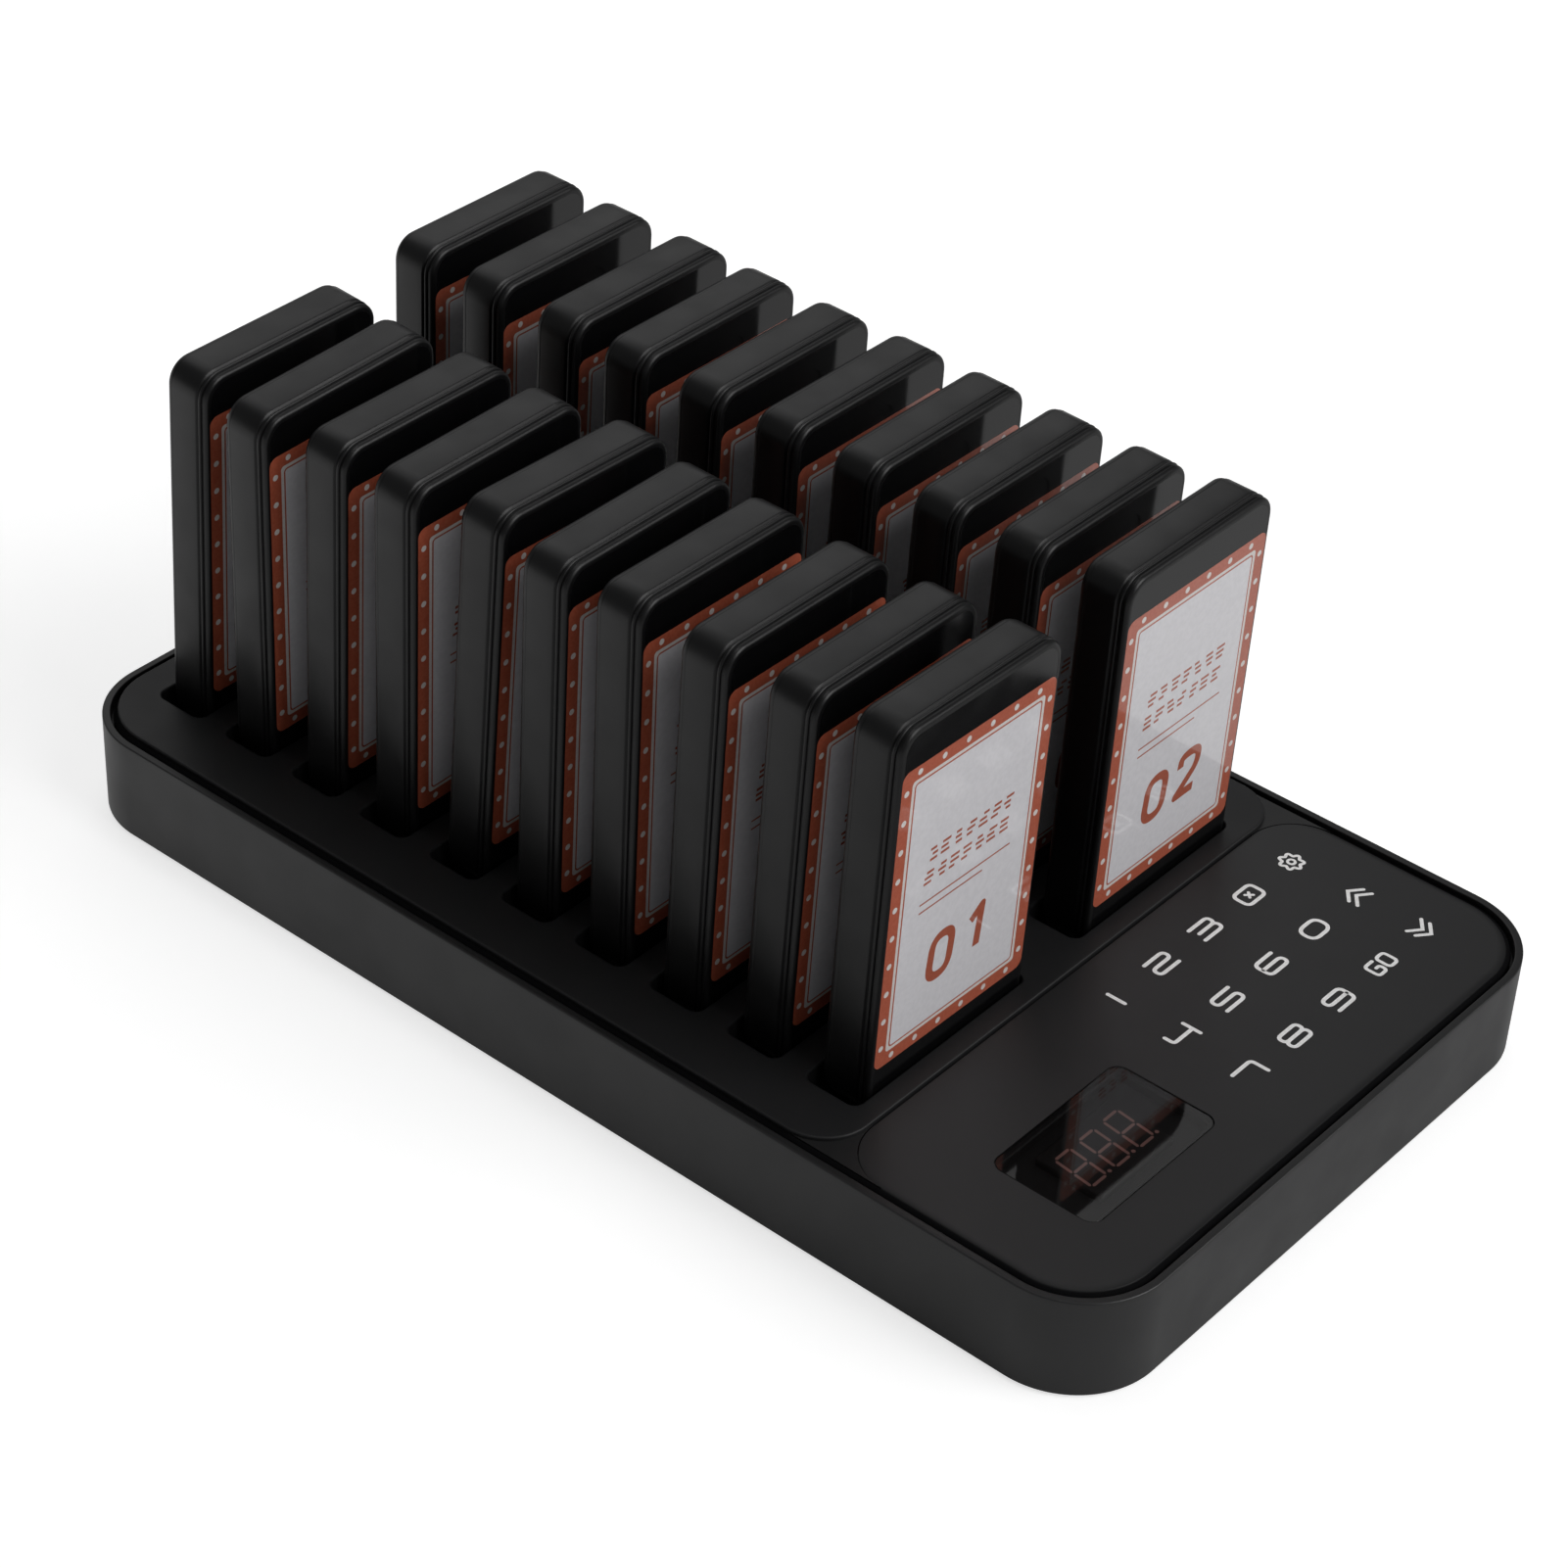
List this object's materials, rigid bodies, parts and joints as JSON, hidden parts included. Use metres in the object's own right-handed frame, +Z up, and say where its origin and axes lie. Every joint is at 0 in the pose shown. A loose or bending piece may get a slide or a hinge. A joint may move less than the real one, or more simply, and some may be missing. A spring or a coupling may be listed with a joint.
{
  "type": "restaurant pager set",
  "caption": "Low charging base with a touch keypad and a display window, and portrait card pagers that stand in two rows of slots and lift out.",
  "frame": {"origin": "middle of the base's plan outline, at the underside of the rubber feet", "axes": "+Z up; +Y from the keypad end to the rear; +X to the right of someone who reads the keypad"},
  "size_m": [0.186, 0.3292, 0.1311],
  "materials": {
    "base_abs": "satin moulded ABS",
    "cover_abs": "fine matte texture",
    "keypad_film": "matte film with white legends",
    "smoked_acrylic": "smoked, polished",
    "display_body": "dark moulded face",
    "circuit_board": "solder mask",
    "plated_wire": "plated wire",
    "buzzer_plastic": "moulded",
    "jack_plastic": "moulded",
    "foot_rubber": "matte",
    "pager_abs": "satin moulded ABS",
    "pager_front_gloss": "polished front over a printed card",
    "cell_wrap": "foil wrap",
    "motor_steel": "plated can"
  },
  "bodies": {
    "base": {"base_tub": "base_abs", "top_cover": "cover_abs", "keypad_panel": "keypad_film", "display_window": "smoked_acrylic", "led_display": "display_body", "main_board": "circuit_board", "touch_board": "circuit_board", "charge_board_left": "circuit_board", "charge_board_right": "circuit_board", "antenna_coil": "plated_wire", "buzzer": "buzzer_plastic", "power_jack": "jack_plastic", "foot_front_left": "foot_rubber", "foot_front_right": "foot_rubber", "foot_rear_left": "foot_rubber", "foot_rear_right": "foot_rubber"},
    "pager_01": {"pager_01_case": "pager_abs", "pager_01_front": "pager_front_gloss", "pager_01_board": "circuit_board", "pager_01_cell": "cell_wrap", "pager_01_motor": "motor_steel"},
    "pager_02": {"pager_02_case": "pager_abs", "pager_02_front": "pager_front_gloss"},
    "pager_03": {"pager_03_case": "pager_abs", "pager_03_front": "pager_front_gloss"},
    "pager_04": {"pager_04_case": "pager_abs", "pager_04_front": "pager_front_gloss"},
    "pager_05": {"pager_05_case": "pager_abs", "pager_05_front": "pager_front_gloss"},
    "pager_06": {"pager_06_case": "pager_abs", "pager_06_front": "pager_front_gloss"},
    "pager_07": {"pager_07_case": "pager_abs", "pager_07_front": "pager_front_gloss"},
    "pager_08": {"pager_08_case": "pager_abs", "pager_08_front": "pager_front_gloss"},
    "pager_09": {"pager_09_case": "pager_abs", "pager_09_front": "pager_front_gloss"},
    "pager_10": {"pager_10_case": "pager_abs", "pager_10_front": "pager_front_gloss"},
    "pager_11": {"pager_11_case": "pager_abs", "pager_11_front": "pager_front_gloss"},
    "pager_12": {"pager_12_case": "pager_abs", "pager_12_front": "pager_front_gloss"},
    "pager_13": {"pager_13_case": "pager_abs", "pager_13_front": "pager_front_gloss"},
    "pager_14": {"pager_14_case": "pager_abs", "pager_14_front": "pager_front_gloss"},
    "pager_15": {"pager_15_case": "pager_abs", "pager_15_front": "pager_front_gloss"},
    "pager_16": {"pager_16_case": "pager_abs", "pager_16_front": "pager_front_gloss"},
    "pager_17": {"pager_17_case": "pager_abs", "pager_17_front": "pager_front_gloss"},
    "pager_18": {"pager_18_case": "pager_abs", "pager_18_front": "pager_front_gloss"},
    "pager_19": {"pager_19_case": "pager_abs", "pager_19_front": "pager_front_gloss"},
    "pager_20": {"pager_20_case": "pager_abs", "pager_20_front": "pager_front_gloss"}
  },
  "joints": [
    {"name": "pager_01_lift", "type": "slide", "parent": "base", "child": "pager_01", "axis": [0.0157, -0.014, 0.9998], "range_m": [0, 0.15]},
    {"name": "pager_02_lift", "type": "slide", "parent": "base", "child": "pager_02", "axis": [0, -0.014, 0.9999], "range_m": [0, 0.15]},
    {"name": "pager_03_lift", "type": "slide", "parent": "base", "child": "pager_03", "axis": [0.0035, -0.0262, 0.9997], "range_m": [0, 0.15]},
    {"name": "pager_04_lift", "type": "slide", "parent": "base", "child": "pager_04", "axis": [0, -0.0262, 0.9997], "range_m": [0, 0.15]},
    {"name": "pager_05_lift", "type": "slide", "parent": "base", "child": "pager_05", "axis": [0.0035, -0.0192, 0.9998], "range_m": [0, 0.15]},
    {"name": "pager_06_lift", "type": "slide", "parent": "base", "child": "pager_06", "axis": [0, -0.0244, 0.9997], "range_m": [0, 0.15]},
    {"name": "pager_07_lift", "type": "slide", "parent": "base", "child": "pager_07", "axis": [0.0052, -0.0017, 1], "range_m": [0, 0.15]},
    {"name": "pager_08_lift", "type": "slide", "parent": "base", "child": "pager_08", "axis": [0, -0.0192, 0.9998], "range_m": [0, 0.15]},
    {"name": "pager_09_lift", "type": "slide", "parent": "base", "child": "pager_09", "axis": [-0.007, -0.0227, 0.9997], "range_m": [0, 0.15]},
    {"name": "pager_10_lift", "type": "slide", "parent": "base", "child": "pager_10", "axis": [0, -0.0157, 0.9999], "range_m": [0, 0.15]},
    {"name": "pager_11_lift", "type": "slide", "parent": "base", "child": "pager_11", "axis": [0.0244, -0.0314, 0.9992], "range_m": [0, 0.15]},
    {"name": "pager_12_lift", "type": "slide", "parent": "base", "child": "pager_12", "axis": [0, -0.0175, 0.9998], "range_m": [0, 0.15]},
    {"name": "pager_13_lift", "type": "slide", "parent": "base", "child": "pager_13", "axis": [-0.0157, -0.0332, 0.9993], "range_m": [0, 0.15]},
    {"name": "pager_14_lift", "type": "slide", "parent": "base", "child": "pager_14", "axis": [0, -0.0122, 0.9999], "range_m": [0, 0.15]},
    {"name": "pager_15_lift", "type": "slide", "parent": "base", "child": "pager_15", "axis": [-0.0035, -0.0349, 0.9994], "range_m": [0, 0.15]},
    {"name": "pager_16_lift", "type": "slide", "parent": "base", "child": "pager_16", "axis": [0, -0.0244, 0.9997], "range_m": [0, 0.15]},
    {"name": "pager_17_lift", "type": "slide", "parent": "base", "child": "pager_17", "axis": [-0.0332, -0.0488, 0.9983], "range_m": [0, 0.15]},
    {"name": "pager_18_lift", "type": "slide", "parent": "base", "child": "pager_18", "axis": [0, -0.0122, 0.9999], "range_m": [0, 0.15]},
    {"name": "pager_19_lift", "type": "slide", "parent": "base", "child": "pager_19", "axis": [-0.007, -0.0523, 0.9986], "range_m": [0, 0.15]},
    {"name": "pager_20_lift", "type": "slide", "parent": "base", "child": "pager_20", "axis": [0, -0.0105, 0.9999], "range_m": [0, 0.15]}
  ]
}
